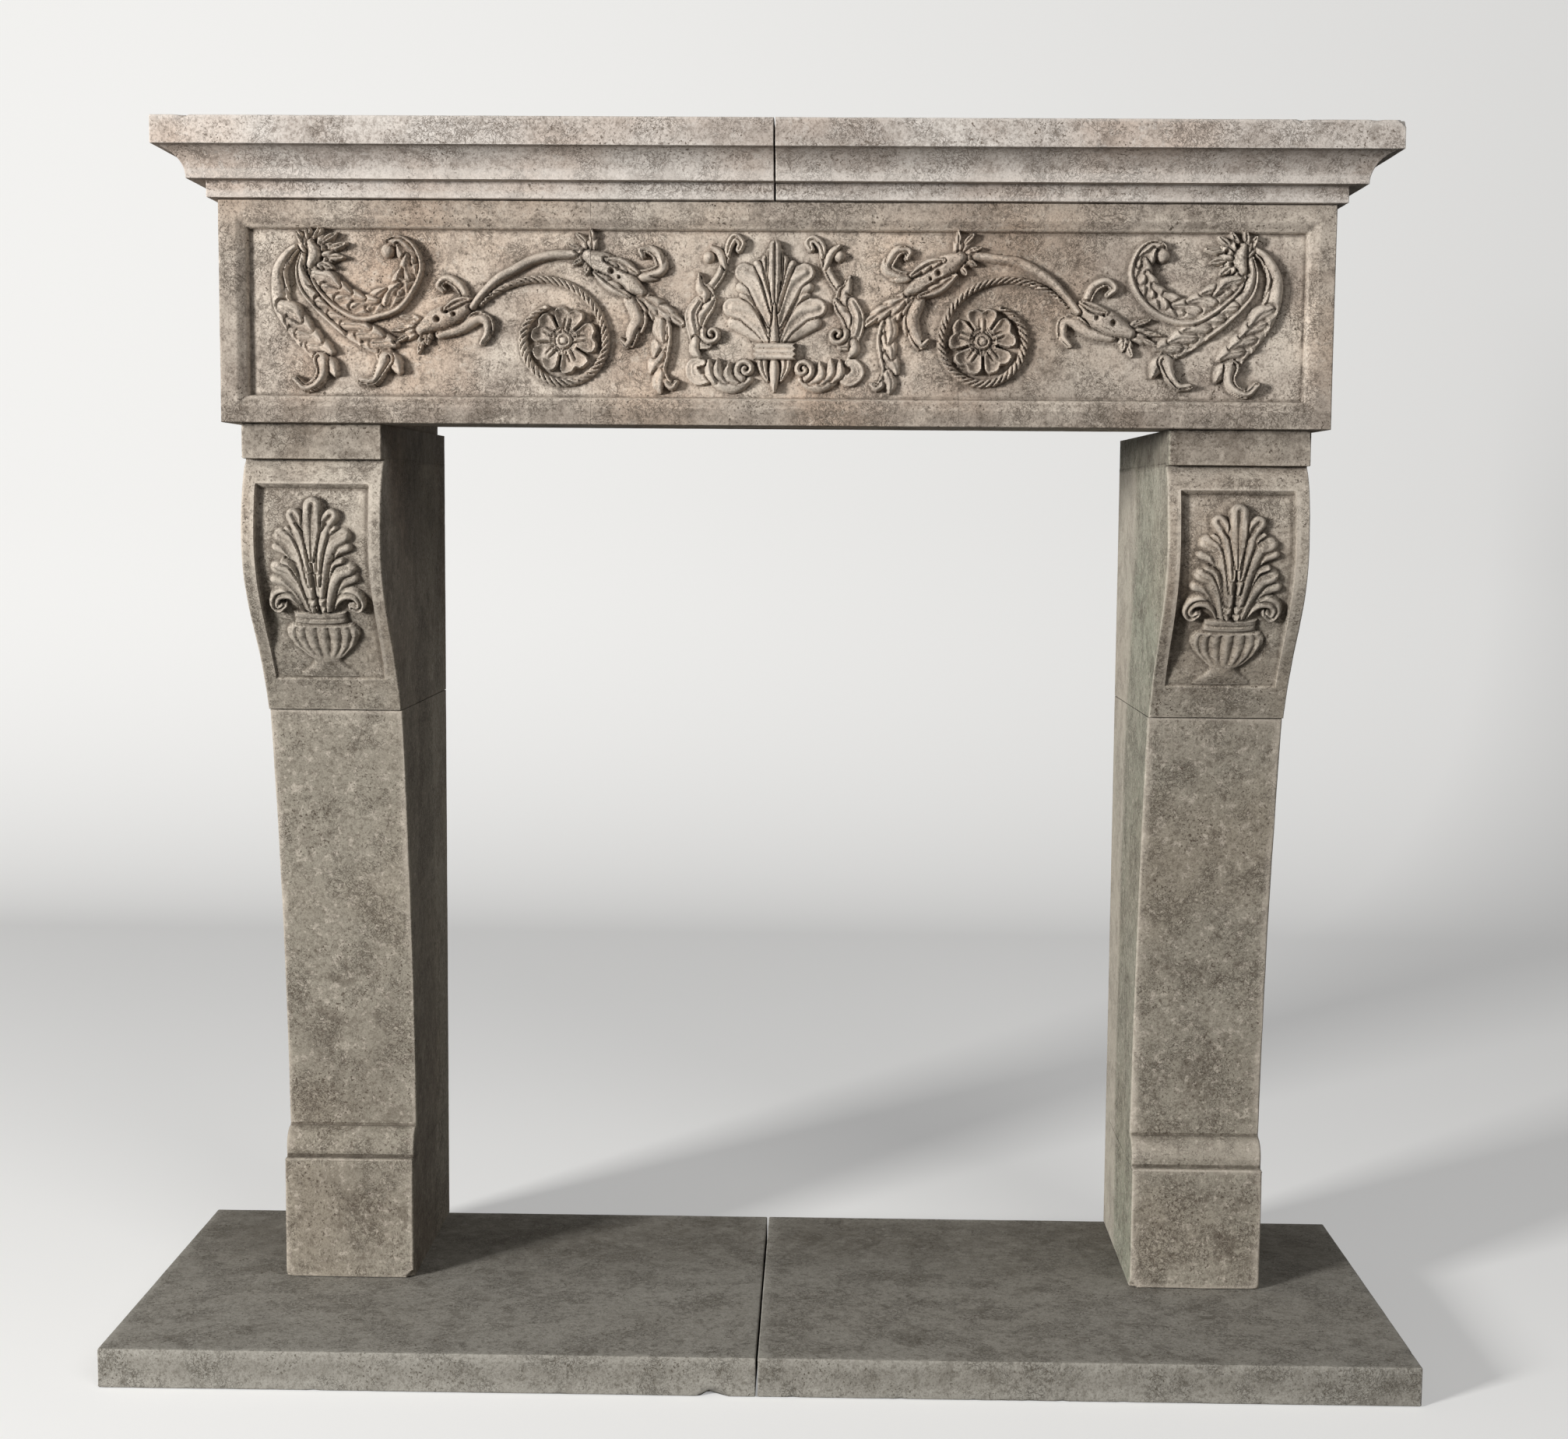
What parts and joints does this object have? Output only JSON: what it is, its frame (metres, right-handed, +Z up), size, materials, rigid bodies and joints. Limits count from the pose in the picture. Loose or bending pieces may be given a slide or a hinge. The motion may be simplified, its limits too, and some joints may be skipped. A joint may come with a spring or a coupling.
{
  "type": "fireplace mantel",
  "caption": "Carved limestone fireplace mantel: moulded shelf on a lintel with a scrolling leaf frieze, on corbelled legs, with its hearth.",
  "frame": {"origin": "centre of the hearth's underside", "axes": "+X along the mantel to the right of a viewer in front, +Y to the wall behind it, +Z up"},
  "size_m": [1.786, 0.608, 1.693],
  "materials": {
    "carved_stone": "honed, aged limestone with mottled grey and brown clouds",
    "shelf_stone": "honed, aged limestone, paler along the shelf",
    "hearth_stone": "worn grey limestone with soft streaks"
  },
  "bodies": {
    "root": {"left_hearth_slab": "hearth_stone", "right_hearth_slab": "hearth_stone", "left_leg": "carved_stone", "right_leg": "carved_stone", "left_corbel": "carved_stone", "right_corbel": "carved_stone", "lintel": "carved_stone", "left_return": "carved_stone", "right_return": "carved_stone", "left_shelf": "shelf_stone", "right_shelf": "shelf_stone"}
  },
  "joints": []
}
